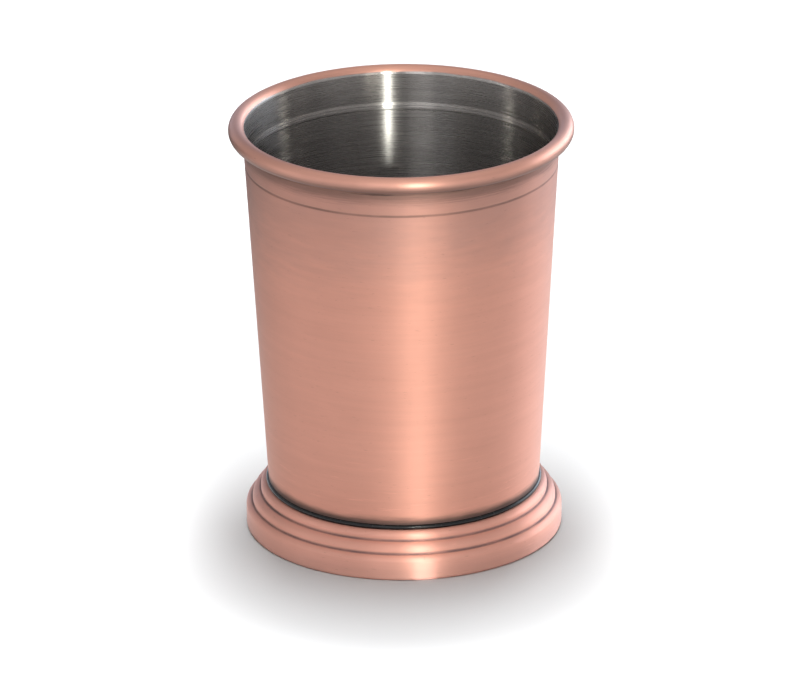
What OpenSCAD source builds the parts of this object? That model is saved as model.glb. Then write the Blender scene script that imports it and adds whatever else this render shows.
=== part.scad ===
// A julep cup: a drawn steel cup with a rolled rim, on a three-step pressed foot.
// Millimetres, +Z up, the origin on the table under the middle of the cup.

/* [Cup] */
// Height from the table to the top of the rolled rim
cup_h = 108; // [95:1:125]
// Inside diameter of the mouth, at the middle of the rolled rim
mouth_d = 78.4; // [70:0.2:90]
// Slope of the side from upright, in degrees
side_slope = 3.3; // [2:0.1:4]
// Thickness of the cup's sheet
sheet_t = 0.6; // [0.4:0.05:0.8]
// Inside radius of the bend between side and floor
floor_bend_r = 5; // [3:0.5:8]
// Height of the floor's underside above the table
floor_lift = 3.6; // [3:0.1:5]

/* [Rolled rim] */
// Diameter of the roll
roll_d = 4.1; // [3.2:0.05:5]
// Gap between the roll's cut edge and the side
roll_gap = 0.15; // [0.1:0.05:0.4]

/* [Groove] */
// Depth of the groove's middle below the top of the rim
groove_drop = 10.9; // [8:0.1:20]
// Radius of the tool that presses the groove
groove_r = 1.2; // [0.8:0.05:1.6]
// Depth of the groove
groove_depth = 0.1; // [0.05:0.05:0.3]

/* [Foot] */
// Width of the flat lip between the cup's side and the top step's shoulder
lip_w = 0.6; // [0.5:0.05:2]
// Thickness of the foot's sheet
foot_t = 0.6; // [0.5:0.05:1]
// Height of the lowest step
low_step_h = 6.4; // [5.5:0.1:8]
// Radius of the lowest step's shoulder
low_step_r = 1.6; // [1.2:0.1:2]
// Height of the middle step
mid_step_h = 2.75; // [2.5:0.05:4]
// Radius of the middle step's shoulder
mid_step_r = 2.15; // [1.8:0.05:2.4]
// Height of the top step
top_step_h = 2.35; // [1.8:0.05:3]
// Radius of the top step's shoulder
top_step_r = 1.35; // [1.1:0.05:1.6]
// Outside radius of the bend at the table
foot_bend_r = 0.6; // [0.5:0.1:2]
// Width of the flat ring that stands on the table
seat_w = 4; // [2.5:0.1:6]
// Gap between the foot's top lip and the side of the cup
lip_gap = 0.05; // [0.02:0.01:0.2]

/* [Base plate] */
// Thickness of the base plate
plate_t = 0.8; // [0.5:0.05:1]
// Diameter of the raised middle, which is welded under the floor
plate_pad_d = 52; // [30:1:54]
// Slope of the plate's step, in degrees
plate_step_a = 45; // [30:1:60]
// Gap between the plate's edge and the foot's wall
plate_gap = 0.3; // [0.1:0.05:0.5]

/* [Seal ring] */
// How far the seal stands out from the side of the cup
seal_w = 0.6; // [0.4:0.05:1]
// Height of the seal's half-round section before it is squeezed
seal_h = 1.3; // [1:0.05:2]
// How much the seal is squeezed flat on the lip
seal_squeeze = 0.1; // [0.05:0.01:0.2]
// Gap that stays between the seal and what it lies on
seal_gap = 0.01; // [0.01:0.01:0.05]

/* [Hidden] */
$fn = 128;

// Directions along the side: up it, and out of it
side_up = [sin(side_slope), cos(side_slope)];
side_out = [cos(side_slope), -sin(side_slope)];

// Rounds are drawn this much larger than would just touch, so that they cross the straights
overcut = 0.002;

// Middle of the roll's section, and where the inside and outside of the side run into it
roll_r = roll_d / 2;
roll_at = [mouth_d / 2 + roll_r, cup_h - roll_r];
inside_top = roll_at - roll_r * side_out;
outside_top = inside_top + sheet_t * side_out;
// How far the roll turns past its lowest point, to stop one gap short of the side
roll_turn = asin((roll_r - sheet_t - roll_gap) / roll_r);

// Radius of the cup's inside and outside at a height, on the straight of the side
function inside_r(z) = inside_top[0] - (inside_top[1] - z) * tan(side_slope);
function outside_r(z) = inside_r(z) + sheet_t / cos(side_slope);

// Top of the floor, and middle of the bend between side and floor
floor_top = floor_lift + sheet_t;
bend_z = floor_top + floor_bend_r;
bend_at = [
    inside_r(bend_z - floor_bend_r * sin(side_slope)) - floor_bend_r * cos(side_slope),
    bend_z
];

// Middle of the groove's tool, just outside the side
groove_z = cup_h - groove_drop;
groove_at = [outside_r(groove_z), groove_z] + (groove_r - groove_depth) * side_out;

// Heights of the steps' tops
mid_z = low_step_h;
top_z = mid_z + mid_step_h;
lip_z = top_z + top_step_h;

// Radii of the lip and the steps, which grow out from the side of the cup
lip_inner_r = ceil(100 * (outside_r(lip_z) + lip_gap)) / 100;
lip_r = lip_inner_r + lip_w;
top_r = lip_r + top_step_r;
mid_r = top_r + mid_step_r;
foot_r = mid_r + low_step_r;

// Radii of the base plate
plate_r = foot_r - foot_t - plate_gap;
pad_r = plate_pad_d / 2;
plate_rise = floor_lift - foot_t - plate_t;
plate_step_w = plate_rise / tan(plate_step_a);
plate_bend = plate_t * tan(plate_step_a / 2);

// Middle of the seal's section, on the outside of the side
seal_z = lip_z + seal_h / 2 - seal_squeeze;
seal_at = [outside_r(seal_z), seal_z];

// A bent strip of sheet: its outside radius, its thickness, and the angles it runs between
module bent_strip(at, outside, thick, from, to) {
    reach = 2 * outside;
    middle = (from + to) / 2;
    translate(at)
        intersection() {
            difference() {
                circle(r = outside);
                if (outside > thick) circle(r = outside - thick);
            }
            polygon([
                [0, 0],
                for (a = [from, middle, to]) reach * [cos(a), sin(a)]
            ]);
        }
}

// A straight strip of sheet in the section, between its low left and high right corners
module flat_strip(low, high) {
    polygon([low, [high[0], low[1]], high, [low[0], high[1]]]);
}

// One step of the foot: a wall that stands on a sharp crease, under a round shoulder
module foot_step(wall_r, low_z, high_z, shoulder_r) {
    flat_strip([wall_r - foot_t, low_z], [wall_r, high_z - shoulder_r]);
    bent_strip([wall_r - shoulder_r, high_z - shoulder_r], shoulder_r, foot_t, 0, 90);
}

// The sharp crease where one step's shoulder meets the next step's wall
module foot_crease(at) {
    bent_strip(at, foot_t, foot_t, 180, 270);
}

// Half section of the body under the roll, filled out to the outside of its sheet
module body_outside() {
    into_roll = (inside_top + outside_top) / 2 + sheet_t / 4 * side_up;
    translate(bend_at) circle(r = floor_bend_r + sheet_t + overcut);
    polygon([
        [0, floor_lift],
        [bend_at[0], floor_lift],
        bend_at,
        bend_at + (floor_bend_r + sheet_t) * side_out,
        outside_top,
        into_roll,
        inside_top,
        [0, inside_top[1]]
    ]);
}

// Half section of the space inside the body, less the ridge that the groove raises in it
module body_inside() {
    over_rim = inside_top + 2 * roll_r * side_up;
    difference() {
        union() {
            translate(bend_at) circle(r = floor_bend_r + overcut);
            polygon([
                [0, floor_top],
                [bend_at[0], floor_top],
                bend_at,
                bend_at + floor_bend_r * side_out,
                over_rim,
                [0, over_rim[1]]
            ]);
        }
        translate(groove_at) circle(r = groove_r + sheet_t);
    }
}

// The roll's round, less the gap between its cut edge and the side
module roll_outside() {
    to_edge = -sin(roll_turn) * side_out - cos(roll_turn) * side_up;
    to_sheet = (roll_r - sheet_t / 2) / sin(roll_turn);
    difference() {
        translate(roll_at) circle(r = roll_r + overcut);
        polygon([
            roll_at,
            (inside_top + outside_top) / 2,
            roll_at + to_sheet * to_edge
        ]);
    }
}

// Drawn cup: floor, bend, sloping side with its groove, and the rim rolled outwards
module cup_shell() {
    color("darksalmon")
        rotate_extrude()
            difference() {
                union() {
                    body_outside();
                    roll_outside();
                }
                body_inside();
                translate(roll_at) circle(r = roll_r - sheet_t + overcut);
                translate(groove_at) circle(r = groove_r);
            }
}

// Pressed foot: a flat seat, three rounded steps, and a lip that closes on the cup
module foot_ring() {
    color("darksalmon")
        rotate_extrude() {
            flat_strip([foot_r - foot_bend_r - seat_w, 0], [foot_r - foot_bend_r, foot_t]);
            bent_strip([foot_r - foot_bend_r, foot_bend_r], foot_bend_r, foot_t, -90, 0);
            foot_step(foot_r, foot_bend_r, mid_z, low_step_r);
            foot_crease([mid_r, mid_z]);
            foot_step(mid_r, mid_z, top_z, mid_step_r);
            foot_crease([top_r, top_z]);
            foot_step(top_r, top_z, lip_z, top_step_r);
            flat_strip([lip_inner_r, lip_z - foot_t], [lip_r, lip_z]);
        }
}

// Base plate: lies on the foot's seat and steps up to the underside of the cup's floor
module base_plate() {
    color("silver")
        rotate_extrude()
            polygon([
                [0, floor_lift - plate_t],
                [pad_r - plate_bend, floor_lift - plate_t],
                [pad_r + plate_step_w - plate_bend, foot_t],
                [plate_r, foot_t],
                [plate_r, foot_t + plate_t],
                [pad_r + plate_step_w, foot_t + plate_t],
                [pad_r, floor_lift],
                [0, floor_lift]
            ]);
}

// Black seal: half round, flat against the cup's side, and pressed down on the foot's lip
module seal_ring() {
    low_z = lip_z + seal_gap;
    high_z = lip_z + seal_h;
    outer_r = seal_at[0] + 2 * seal_w;
    color("black")
        rotate_extrude()
            intersection() {
                translate(seal_at)
                    rotate(-side_slope)
                        scale([seal_w, seal_h / 2])
                            circle(r = 1);
                polygon([
                    [outside_r(low_z) + seal_gap, low_z],
                    [outer_r, low_z],
                    [outer_r, high_z],
                    [outside_r(high_z) + seal_gap, high_z]
                ]);
            }
}

cup_shell();
foot_ring();
base_plate();
seal_ring();
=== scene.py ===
from math import cos, radians, sin

import bpy
from mathutils import Matrix, Vector


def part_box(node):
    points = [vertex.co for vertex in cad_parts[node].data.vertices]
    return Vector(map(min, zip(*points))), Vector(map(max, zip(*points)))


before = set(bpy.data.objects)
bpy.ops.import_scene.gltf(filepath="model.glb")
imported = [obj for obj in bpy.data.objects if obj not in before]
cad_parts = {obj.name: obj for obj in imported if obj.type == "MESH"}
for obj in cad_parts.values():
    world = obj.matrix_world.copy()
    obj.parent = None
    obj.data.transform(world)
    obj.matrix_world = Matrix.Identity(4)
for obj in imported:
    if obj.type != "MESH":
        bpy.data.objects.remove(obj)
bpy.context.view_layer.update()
scene = bpy.context.scene
scene.view_settings.view_transform = "Standard"

# The materials are laid out in millimetres, from these places on the cup
mm = 1000                      # to the metre
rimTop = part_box("cup_shell")[1][2] * mm
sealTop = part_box("seal_ring")[1][2] * mm
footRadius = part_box("foot_ring")[1][0] * mm
print("frame loaded:", sorted(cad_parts))


# Node graphs: sockets that can be added, multiplied and so on, and one call for any other node

class Socket:
    def __init__(self, graph, socket):
        self.graph = graph
        self.socket = socket

    def __add__(self, other):
        return self.graph.maths("ADD", self, other)

    def __radd__(self, other):
        return self.graph.maths("ADD", other, self)

    def __sub__(self, other):
        return self.graph.maths("SUBTRACT", self, other)

    def __rsub__(self, other):
        return self.graph.maths("SUBTRACT", other, self)

    def __mul__(self, other):
        return self.graph.maths("MULTIPLY", self, other)

    def __rmul__(self, other):
        return self.graph.maths("MULTIPLY", other, self)

    def __truediv__(self, other):
        return self.graph.maths("DIVIDE", self, other)

    def __rtruediv__(self, other):
        return self.graph.maths("DIVIDE", other, self)

    def __pow__(self, other):
        return self.graph.maths("POWER", self, other)

    def __rpow__(self, other):
        return self.graph.maths("POWER", other, self)

    def __lt__(self, other):
        return self.graph.maths("LESS_THAN", self, other)

    def __gt__(self, other):
        return self.graph.maths("GREATER_THAN", self, other)


class Graph:
    def __init__(self, tree):
        self.tree = tree
        self.tree.nodes.clear()

    def add(self, kind, settings=None, links=None, out=0):
        # out is the place or the name of the output that is wanted, or a tuple of them
        node = self.tree.nodes.new("ShaderNode" + kind)
        for name, value in (settings or {}).items():
            setattr(node, name, value)
        for name, value in (links or {}).items():
            entry = node.inputs[name]
            if isinstance(value, Socket):
                self.tree.links.new(value.socket, entry)
            else:
                entry.default_value = (*value, 1) if entry.type == "RGBA" else value
        if isinstance(out, tuple):
            return [Socket(self, node.outputs[one]) for one in out]
        return Socket(self, node.outputs[out]) if node.outputs else None

    def maths(self, operation, *values):
        return self.add("Math", {"operation": operation}, dict(enumerate(values)))

    def apart(self, vector):
        return self.add("SeparateXYZ", None, {"Vector": vector}, (0, 1, 2))

    def between(self, value, low, high):
        # 0 below low, 1 above high, smooth in between; low may be the larger
        settings = {"interpolation_type": "SMOOTHSTEP"}
        return self.add("MapRange", settings, {"Value": value, "From Min": low, "From Max": high})

    def line(self, value, at, half, soft):
        # 1 within half of at, gone by soft further out
        return self.between(self.maths("ABSOLUTE", value - at), half + soft, half)

    def mix(self, factor, first, second, blend="MIX"):
        # The Mix node's sockets share names, so they go by place: its factor and its two colours
        settings = {"data_type": "RGBA", "blend_type": blend}
        return self.add("Mix", settings, {0: factor, 6: first, 7: second}, 2)

    def lighten(self, value, colour):
        return self.add("HueSaturation", None, {"Value": value, "Color": colour})

    def noise(self, place, fineness, detail=2, rough=0.5):
        # It swings about 0.5; fineness is how many waves it has to the millimetre, along each axis
        x, y, z = [axis * many for axis, many in zip(place, fineness)]
        values = {
            "Vector": self.add("CombineXYZ", None, {"X": x, "Y": y, "Z": z}),
            "Scale": 1.0,
            "Detail": detail,
            "Roughness": rough,
        }
        return self.add("TexNoise", None, values)

    def bump(self, strength, distance, height):
        return self.add("Bump", None, {"Strength": strength, "Distance": distance, "Height": height})


def span(x, y):
    return (x * x + y * y) ** 0.5


def newMaterial(name):
    material = bpy.data.materials.new(name)
    material.use_nodes = True
    return material, Graph(material.node_tree)


def onTheCup(graph):
    # Object coordinates as x, y, height and distance from the axis, all in millimetres
    x, y, z = [axis * mm for axis in graph.apart(graph.add("TexCoord", out="Object"))]
    return x, y, z, span(x, y)


# Camera: a long lens in front of the cup and above it, as the photograph was taken

cameraLook = {
    "lens": 351.7,             # mm, on a sensor 36 mm wide
    "sensor": 36,
    "place": (-0.00072, -1.8340, 0.7802),
    "tilt": 68.23,             # degrees from straight down
    "roll": -0.447,            # degrees
    "sees": (0.01, 20),        # nearest and farthest, in metres
}


def makeCamera(look):
    data = bpy.data.cameras.new("camera")
    data.lens = look["lens"]
    data.sensor_width = look["sensor"]
    data.clip_start, data.clip_end = look["sees"]
    camera = bpy.data.objects.new("camera", data)
    scene.collection.objects.link(camera)
    camera.location = look["place"]
    turn = Matrix.Rotation(radians(look["tilt"]), 3, "X") @ Matrix.Rotation(radians(look["roll"]), 3, "Z")
    camera.rotation_euler = turn.to_euler()
    scene.camera = camera


makeCamera(cameraLook)
print("camera placed")


# Studio, in metres and degrees. Azimuth 0 is towards the camera, and 90 to its right. The shine is what
# only glossy rays see, so that the metal mirrors a studio of its own

def facing(x, y, azimuth, reach):
    # Cosine of the angle between an azimuth and the way out to x and y, which lie reach away
    return (x * sin(radians(azimuth)) - y * cos(radians(azimuth))) / reach


def turned(graph, cosine, edges):
    # 0 further round than the first edge, 1 nearer than the second
    return graph.between(cosine, *[cos(radians(edge)) for edge in edges])


def raised(graph, z, edges):
    # 0 at the first elevation, 1 at the second; z is the height of a direction of length 1
    return graph.between(z, *[sin(radians(edge)) for edge in edges])


floorLook = {
    "width": 6.0,
    "colour": (0.785, 0.80, 0.81),
    "shadowAt": 0.033,         # how far in front of the cup's axis the middle of its shadow lies
    "backwards": 0.15,         # what a distance behind that middle counts for
    "whitens": (0.040, 0.075, 0.20),  # how far out it starts to whiten for the camera, is pale, is white
    "pale": 0.35,              # how much of the whitening is done where it is pale
    "darkens": (0.14, 0.27),   # how far behind the axis it starts to darken in the shine, and is dark
    "dark": (0.03, 0.03, 0.03),
    "inShine": 0.21,           # its own light in the shine
    "glint": {
        # The strip lamp's light on the floor, seen only in the shine
        "from": 0.020,         # how far in front of the axis it sets out
        "azimuth": 14.4,
        "sides": (11, 2),      # how far round from there it starts, and is full
        "ends": (0.105, 0.040),  # how far out it starts, and is full
        "bright": 1.5,
    },
}


def glintOn(graph, x, y, look):
    y = y + look["from"]
    reach = span(x, y)
    sides = turned(graph, facing(x, y, look["azimuth"], reach), look["sides"])
    return sides * graph.between(reach, *look["ends"]) * look["bright"]


def makeFloor(look):
    bpy.ops.mesh.primitive_plane_add(size=look["width"])
    floor = bpy.context.object
    floor.name = "floor"
    material, graph = newMaterial("floor")
    camera, glossy = graph.add("LightPath", out=("Is Camera Ray", "Is Glossy Ray"))
    x, y, z = graph.apart(graph.add("TexCoord", out="Object"))
    ahead = -look["shadowAt"] - y
    away = span(x, graph.maths("MAXIMUM", ahead, ahead * -look["backwards"]))
    starts, pale, white = look["whitens"]
    whitened = graph.between(away, starts, pale) * look["pale"]
    whitened = whitened + graph.between(away, pale, white) * (1 - look["pale"])
    behind = graph.between(y, *look["darkens"])
    shine = (1 - behind) * look["inShine"] + glintOn(graph, x, y, look["glint"])
    colour = graph.mix(glossy * behind, look["colour"], look["dark"])
    diffuse = graph.add("BsdfDiffuse", None, {"Color": colour})
    glow = graph.add("Emission", None, {"Strength": camera * whitened + glossy * shine})
    both = graph.add("AddShader", None, {0: diffuse, 1: glow})
    graph.add("OutputMaterial", None, {"Surface": both})
    floor.data.materials.append(material)


worldLook = {
    "onSurfaces": 0.05,        # its light on what isn't in the shine
    "low": (0.60, 0.60, 0.61),  # its colours in the shine, from the horizon up
    "high": (0.63, 0.63, 0.64),
    "top": (1.00, 1.00, 1.00),
    "lowToHigh": (5, 25),      # elevations between which one gives way to the next
    "highToTop": (42, 62),
    "behind": (0.17, 0.19, 0.23),  # the dark side of the studio, straight behind the cup
    "behindSides": (0.78, 0.97),  # how far round it starts, and is full, as cosines
    "behindUnder": (46, 26),   # elevations under which it starts, and is full
    "panelSides": (1.5, 0.5),  # where a panel starts, and is full, as shares of half its width
    "panelTop": (1.4, 0.7),    # the same as shares of its top's elevation
    "panelBottom": (-4, 4),    # the same as degrees over its bottom
    "panels": (
        # azimuth, half its width, its bottom and top, and the light it adds
        (0, 90, -10, 14, (0.48, 0.48, 0.48)),
        (-15, 8, 13, 34, (2.40, 2.40, 2.38)),
        (-32, 16, 13, 34, (0.40, 0.40, 0.40)),
        (-64, 26, -10, 8, (1.12, 1.12, 1.14)),
        (-81, 4, -10, 34, (0.20, 0.21, 0.23)),
        (20, 5, -10, 7, (7.0, 6.7, 5.8)),
        (24, 5, 8, 34, (0.25, 0.25, 0.25)),
        (42, 16, -10, 8, (1.10, 1.10, 1.10)),
        (92, 20, -10, 8, (0.90, 0.90, 0.90)),
        (131, 24, -10, 19, (2.40, 2.75, 3.10)),
        (122, 16, 8, 34, (1.55, 1.63, 1.80)),
        (150, 14, -10, 4, (2.00, 2.20, 2.40)),
        (156, 20, -10, 30, (0.50, 0.56, 0.68)),
        (192, 16, -10, 26, (0.30, 0.34, 0.42)),
        (208, 14, -10, 4, (0.70, 0.80, 1.00)),
    ),
}


def makeWorld(look):
    world = bpy.data.worlds.new("studio")
    world.use_nodes = True
    scene.world = world
    graph = Graph(world.node_tree)
    camera, glossy, bounces = graph.add("LightPath", out=("Is Camera Ray", "Is Glossy Ray", "Diffuse Depth"))
    x, y, z = graph.apart(graph.add("TexCoord", out="Generated"))
    level = span(x, y)
    colour = graph.mix(raised(graph, z, look["lowToHigh"]), look["low"], look["high"])
    colour = graph.mix(raised(graph, z, look["highToTop"]), colour, look["top"])
    behind = graph.between(y / level, *look["behindSides"]) * raised(graph, z, look["behindUnder"])
    colour = graph.mix(behind, colour, look["behind"])
    for azimuth, half, bottom, top, added in look["panels"]:
        sides = [half * share for share in look["panelSides"]]
        over = [top * share for share in look["panelTop"]]
        under = [bottom + more for more in look["panelBottom"]]
        panel = turned(graph, facing(x, y, azimuth, level), sides)
        panel = panel * raised(graph, z, over) * raised(graph, z, under)
        colour = graph.mix(panel, colour, added, "ADD")
    shine = graph.add("Background", None, {"Color": colour})
    plain = graph.add("Background", None, {"Strength": camera + (1 - camera) * look["onSurfaces"]})
    inShine = glossy * (bounces < 0.5)
    light = graph.add("MixShader", None, {0: inShine, 1: plain, 2: shine})
    graph.add("OutputWorld", None, {"Surface": light})


lampLooks = {
    "overhead": {
        "azimuth": 174,
        "elevation": 84.5,
        "distance": 1.2,
        "aimsAt": (0, 0, 0.05),
        "size": (0.42, 0.76),
        "watts": 21.8,
        "colour": (1, 1, 1),
        "inShine": False,
    },
    "strip": {
        "azimuth": 9.8,
        "elevation": 17.4,
        "distance": 1.1,
        "aimsAt": (0, 0, 0.05),
        "size": (0.018, 0.14),
        "watts": 4.8,
        "colour": (0.97, 1.0, 0.93),
        "inShine": True,
    },
}


def makeLamp(name, look):
    data = bpy.data.lights.new(name, "AREA")
    data.shape = "RECTANGLE"
    data.size, data.size_y = look["size"]
    data.energy = look["watts"]
    data.color = look["colour"]
    lamp = bpy.data.objects.new(name, data)
    scene.collection.objects.link(lamp)
    around, up = radians(look["azimuth"]), radians(look["elevation"])
    away = Vector((sin(around) * cos(up), -cos(around) * cos(up), sin(up)))
    lamp.location = Vector(look["aimsAt"]) + away * look["distance"]
    lamp.rotation_euler = away.to_track_quat("Z", "Y").to_euler()
    # It is seen in the shine or it lights what is matt, never both
    lamp.visible_glossy = look["inShine"]
    lamp.visible_diffuse = not look["inShine"]


makeFloor(floorLook)
makeWorld(worldLook)
for name, look in lampLooks.items():
    makeLamp(name, look)
print("studio lit")


# Antique brushed copper plate. It is darker in the corners, partly from the wash that was rubbed on and
# partly from painted shade

copperLook = {
    "clean": (0.632, 0.328, 0.252),
    "tarnished": (0.31, 0.205, 0.185),
    # the dark of the antique wash, also used for painted shade
    "washAndShade": (0.085, 0.065, 0.060),
    "rough": 0.62,
    "roughLines": 0.12,        # how much the brush lines change the roughness
    "roughWashAndShade": 0.10,         # how much rougher the wash and the painted shade are
    "brushed": 0.76,           # how much further the shine spreads across the brush lines than along them
    "bump": (0.10, 0.0001),    # its strength, and its depth in metres
    "hair": (0.10, 3.5),       # fine brush lines, how many to the millimetre along them and across
    "band": (0.03, 0.5),       # broad brush lines
    "dash": (0.45, 3.0),       # short dark strokes
    "scuff": (0.11, 1.9),      # pale rubbed strokes
    "cloud": (0.05, 0.05, 0.05),  # broad patches, along each axis
    "dashFrom": (0.66, 0.72),  # the noise at which one starts, and is full
    "scuffFrom": (0.62, 0.72),
    "patchFrom": (0.30, 0.66),
    "scuffUnder": (40, 22),    # millimetres over the table under which they start, and are full
    "patchy": (0.5, 0.75),     # how dense the tarnish is: what a patch adds, and anywhere
    "lines": 0.13,             # how much the brush lines change the lightness
    "mottling": 0.13,          # how much the broad patches do
    "dashes": 0.16,            # how much darker the dark strokes are
    "scuffs": 0.10,            # how much lighter the rubbed ones are
}


def brushLines(graph, place, fineness):
    # Noise in lines that run round the cup
    x, y, z, fromAxis = place
    along, across = fineness
    return graph.noise((x, y, z + fromAxis), (along, along, across), detail=3, rough=0.6)


def mottled(graph, place, fineness):
    # Noise about 0, in soft patches
    x, y, z = place[:3]
    along, across = fineness
    return graph.noise((x, y, z), (along, along, across), detail=3) - 0.5


def brushed(graph, colour, rough, spread, bump):
    values = {
        "Base Color": colour,
        "Metallic": 1.0,
        "Roughness": rough,
        "Anisotropic": spread,
        "Anisotropic Rotation": 0.25,  # a quarter turn: the shine spreads across lines that run round
        "Normal": bump,
    }
    return graph.add("BsdfPrincipled", None, values)


def copper(graph, place, washAndShade, tarnish, look, smoother=0):
    hair = brushLines(graph, place, look["hair"])
    band = brushLines(graph, place, look["band"])
    dashes = graph.between(brushLines(graph, place, look["dash"]), *look["dashFrom"])
    scuffs = graph.between(brushLines(graph, place, look["scuff"]), *look["scuffFrom"])
    scuffs = scuffs * graph.between(place[2], *look["scuffUnder"])
    cloud = graph.noise(place[:3], look["cloud"], detail=4, rough=0.6)
    more, anywhere = look["patchy"]
    patchy = graph.between(cloud, *look["patchFrom"]) * more + anywhere
    colour = graph.mix(tarnish * patchy, look["clean"], look["tarnished"])
    colour = graph.mix(washAndShade, colour, look["washAndShade"])
    light = 1 + (hair - 0.5) * look["lines"] + (band - 0.5) * look["lines"]
    light = light + (cloud - 0.5) * look["mottling"]
    light = light - dashes * look["dashes"] + scuffs * look["scuffs"]
    rough = look["rough"] + (hair - 0.5) * look["roughLines"] + washAndShade * look["roughWashAndShade"] - smoother
    bump = graph.bump(*look["bump"], hair)
    return brushed(graph, graph.lighten(light, colour), rough, look["brushed"], bump)


# Cup: copper outside and over the rim, bare brushed steel inside

cupLook = {
    # Places are millimetres below the top of the rim. A pair of them says where something starts, and
    # is full, and the last number is how dense it is there
    "wobble": (0.12, 0.5),     # soft patches, how many to the millimetre round the cup and up it
    "smear": (0.08, 1.6),      # streaks, the same
    "scratches": (0.10, 5.5),
    "streaks": (1.4, 2.6, 2.6),  # how far patches, streaks and scratches shift the wash under the roll
    "underRoll": ((8.9, 6.0), 0.46),
    "inCorner": ((5.6, 4.2), 0.42),  # where side and roll meet, added to the last
    "offRoll": (2.8, 3.8),     # the two above start where the roll ends
    "onRoll": ((1.0, 3.2), (4.6, 3.6), 0.70),  # down from its top, and up from its underside
    "rollStreaks": 0.6,        # how far the streaks shift it
    "groove": ((10.95, 0.14, 0.28), 0.42),  # its middle, half its width, and its soft edge
    "groovePatchy": (1.4, 0.95),  # what the patches add to it, and what it has anywhere
    "overSeal": ((2.6, 0.2), 0.88),  # millimetres over the top of the seal
    "sealStreaks": (1.5, 0.8),  # how far the patches and the streaks shift it
    "tarnish": ((38, 10), (2, 5), 0.36),  # up from the side, and down from the rim
    "tarnishShift": 20,        # how far the patches shift its lower edge
    "roll": (4.4, 3.4),        # where the side gives way to it
    "rollSmoother": 0.19,      # how much less rough the roll is than the side
    "plateEnds": (1.0, 1.4),   # where on the roll's inner side the plate gives way to steel
    "plateShift": 0.5,         # how far the patches shift that
    "turnsIn": (0.05, -0.05),  # how far outwards a face looks where the inside starts, and is full
    "upwards": 0.5,            # how much of its upward look counts as inward
    "plate": copperLook,
    "inside": {
        "steel": (0.362, 0.341, 0.326),
        "rough": 0.27,
        "roughLines": 0.18,
        "brushed": 1.0,
        "bump": (0.09, 0.0001),
        "bumpMix": (0.4, 0.6),  # how much of the bump is fine lines, and how much is waver
        "fine": (0.06, 5.0),   # lines, how many to the millimetre along them and across
        "broad": (0.04, 0.8),
        "waver": (1.0, 4.0),
        "lines": 0.22,         # how much the brush lines change the lightness
        "ridge": (
            # where it is, half its width, its soft edge, and how much lighter it is
            (9.70, 0.10, 0.60, 1.10),
            (10.40, 0.10, 0.30, -0.20),
            (11.15, 0.20, 0.35, 0.46),
        ),
    },
}


def washOnCup(graph, place, wobble, look):
    z = place[2]
    down = rimTop - z
    smear = brushLines(graph, place, look["smear"]) - 0.5
    scratches = brushLines(graph, place, look["scratches"]) - 0.5
    streaky = down
    for streaks, shift in zip((wobble, smear, scratches), look["streaks"]):
        streaky = streaky - streaks * shift
    reach, dense = look["underRoll"]
    side = graph.between(streaky, *reach) * dense
    reach, dense = look["inCorner"]
    side = side + graph.between(streaky, *reach) * dense
    side = side * graph.between(down, *look["offRoll"])
    top, underside, dense = look["onRoll"]
    roll = graph.between(down - smear * look["rollStreaks"], *top) * graph.between(down, *underside) * dense
    line, dense = look["groove"]
    more, anywhere = look["groovePatchy"]
    groove = graph.line(down, *line) * (wobble * more + anywhere) * dense
    reach, dense = look["overSeal"]
    byWobble, bySmear = look["sealStreaks"]
    seal = graph.between(z - sealTop + wobble * byWobble + smear * bySmear, *reach) * dense
    washAndShade = side
    for other in (roll, groove, seal):
        washAndShade = graph.maths("MAXIMUM", washAndShade, other)
    return washAndShade


def bareSteel(graph, place, look):
    down = rimTop - place[2]
    fine = brushLines(graph, place, look["fine"])
    broad = brushLines(graph, place, look["broad"])
    waver = brushLines(graph, place, look["waver"])
    light = 1 + (fine - 0.5) * look["lines"] + (broad - 0.5) * look["lines"]
    for at, half, soft, lighter in look["ridge"]:
        light = light + graph.line(down, at, half, soft) * lighter
    rough = look["rough"] + (fine - 0.5) * look["roughLines"]
    byFine, byWaver = look["bumpMix"]
    bump = graph.bump(*look["bump"], fine * byFine + waver * byWaver)
    return brushed(graph, graph.lighten(light, look["steel"]), rough, look["brushed"], bump)


def cupMaterial(look):
    material, graph = newMaterial("copperPlatedCup")
    place = onTheCup(graph)
    x, y, z, fromAxis = place
    down = rimTop - z
    wobble = mottled(graph, place, look["wobble"])
    washAndShade = washOnCup(graph, place, wobble, look)
    lower, upper, dense = look["tarnish"]
    tarnish = graph.between(down - wobble * look["tarnishShift"], *lower)
    tarnish = tarnish * graph.between(down, *upper) * dense
    smoother = graph.between(down, *look["roll"]) * look["rollSmoother"]
    outer = copper(graph, place, washAndShade, tarnish, look["plate"], smoother)
    inner = bareSteel(graph, place, look["inside"])
    nx, ny, nz = graph.apart(graph.add("TexCoord", out="Normal"))
    outwards = (nx * x + ny * y) / fromAxis - nz * look["upwards"]
    inside = graph.between(outwards, *look["turnsIn"])
    inside = inside * graph.between(down + wobble * look["plateShift"], *look["plateEnds"])
    both = graph.add("MixShader", None, {0: inside, 1: outer, 2: inner})
    graph.add("OutputMaterial", None, {"Surface": both})
    return material


# Foot: the same plate, with the wash left in its two creases and a little over the table

footLook = {
    "wobble": (0.15, 0.5),     # soft patches, how many to the millimetre round the foot and up it
    "creases": ((3.75, 9.15), (1.60, 6.40)),  # millimetres in from the foot's edge, and over the table
    "inCreases": (0.72, 0.12),  # how far from a crease the wash starts, and is full
    "creasePatchy": (0.8, 0.60),  # what the patches add to it, and what it has anywhere
    "overTable": ((1.2, 0.2), 0.1),  # where the wash starts, and is full, and how dense it is
    "tableShift": 1.5,         # how far the patches shift that
    "tarnish": ((6.0, 1.0), 0.25),
    "plate": {
        **copperLook,
        "clean": (0.72, 0.372, 0.292),
        "washAndShade": (0.135, 0.115, 0.125),
        "rough": 0.52,
        "brushed": 0.88,
    },
}


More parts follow.
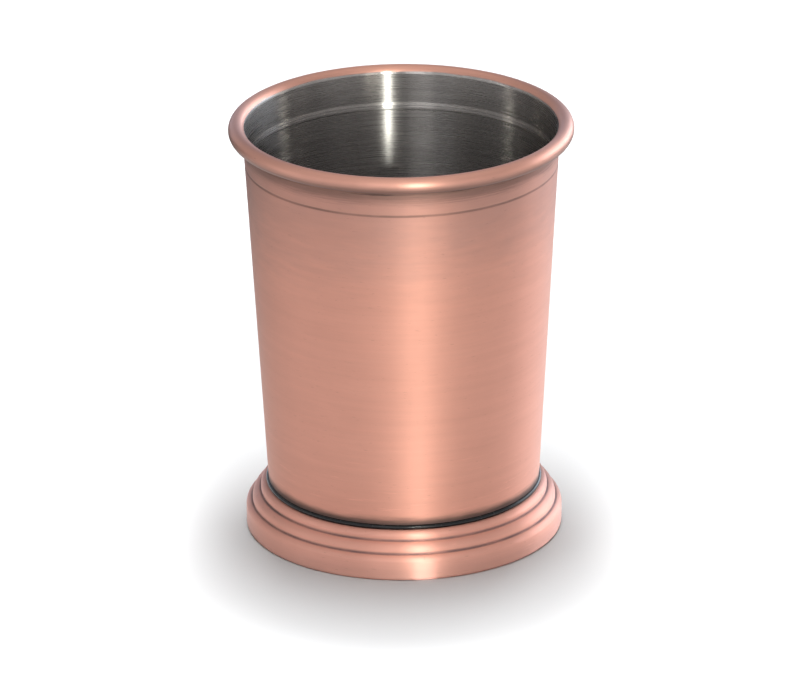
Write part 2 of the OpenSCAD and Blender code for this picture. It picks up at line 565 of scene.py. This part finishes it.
def footMaterial(look):
    material, graph = newMaterial("copperPlatedFoot")
    place = onTheCup(graph)
    x, y, z, fromAxis = place
    wobble = mottled(graph, place, look["wobble"])
    reach, dense = look["overTable"]
    washAndShade = graph.between(z + wobble * look["tableShift"], *reach) * dense
    more, anywhere = look["creasePatchy"]
    for inwards, height in look["creases"]:
        away = span(fromAxis - (footRadius - inwards), z - height)
        crease = graph.between(away, *look["inCreases"]) * (wobble * more + anywhere)
        washAndShade = graph.maths("MAXIMUM", washAndShade, crease)
    reach, dense = look["tarnish"]
    plate = copper(graph, place, washAndShade, graph.between(z, *reach) * dense, look["plate"])
    graph.add("OutputMaterial", None, {"Surface": plate})
    return material


# Base plate: bare pressed steel, rolled straight across, seen only from below

plateLook = {
    "steel": (0.56, 0.56, 0.565),
    "stained": (0.36, 0.33, 0.30),
    "grain": (0.05, 2.5, 0.5),  # how many to the millimetre, along each axis
    "stains": (0.07, 0.07, 0.07),
    "stainFrom": (0.50, 0.70),  # the noise at which one starts, and is full
    "stainShows": 0.5,
    "light": 0.25,             # how much the grain changes the lightness
    "rough": 0.42,
    "roughGrain": 0.2,
    "roughStains": 0.1,
    "bump": (0.12, 0.0001),
}


def plateMaterial(look):
    material, graph = newMaterial("bareSteel")
    place = onTheCup(graph)[:3]
    grain = graph.noise(place, look["grain"], detail=3, rough=0.6)
    stain = graph.between(graph.noise(place, look["stains"], detail=4), *look["stainFrom"])
    colour = graph.mix(stain * look["stainShows"], look["steel"], look["stained"])
    values = {
        "Base Color": graph.lighten(1 + (grain - 0.5) * look["light"], colour),
        "Metallic": 1.0,
        "Roughness": look["rough"] + (grain - 0.5) * look["roughGrain"] + stain * look["roughStains"],
        "Normal": graph.bump(*look["bump"], grain),
    }
    graph.add("OutputMaterial", None, {"Surface": graph.add("BsdfPrincipled", None, values)})
    return material


# Seal: black and glossy, with a little dust

sealLook = {
    "colour": (0.010, 0.011, 0.013),
    "dust": (0.10, 0.10, 0.10),
    "specks": (1.8, 1.8, 1.8),  # how many to the millimetre, along each axis
    "waves": (0.2, 0.2, 0.6),
    "speckFrom": (0.62, 0.72),  # the noise at which one starts, and is full
    "dustShows": 0.35,
    "rough": 0.20,
    "roughDust": 0.3,
    "roughWaves": 0.08,
    "shiny": 0.30,
    "bump": (0.2, 0.0003),
}


def sealMaterial(look):
    material, graph = newMaterial("blackSeal")
    place = onTheCup(graph)[:3]
    specks = graph.between(graph.noise(place, look["specks"], detail=3), *look["speckFrom"])
    waves = graph.noise(place, look["waves"])
    values = {
        "Base Color": graph.mix(specks * look["dustShows"], look["colour"], look["dust"]),
        "Specular IOR Level": look["shiny"],
        "Roughness": look["rough"] + specks * look["roughDust"] + (waves - 0.5) * look["roughWaves"],
        "Normal": graph.bump(*look["bump"], waves),
    }
    graph.add("OutputMaterial", None, {"Surface": graph.add("BsdfPrincipled", None, values)})
    return material


def dress(node, material):
    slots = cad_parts[node].data.materials
    slots.clear()
    slots.append(material)


dress("cup_shell", cupMaterial(cupLook))
dress("foot_ring", footMaterial(footLook))
dress("base_plate", plateMaterial(plateLook))
dress("seal_ring", sealMaterial(sealLook))
print("pieces dressed")
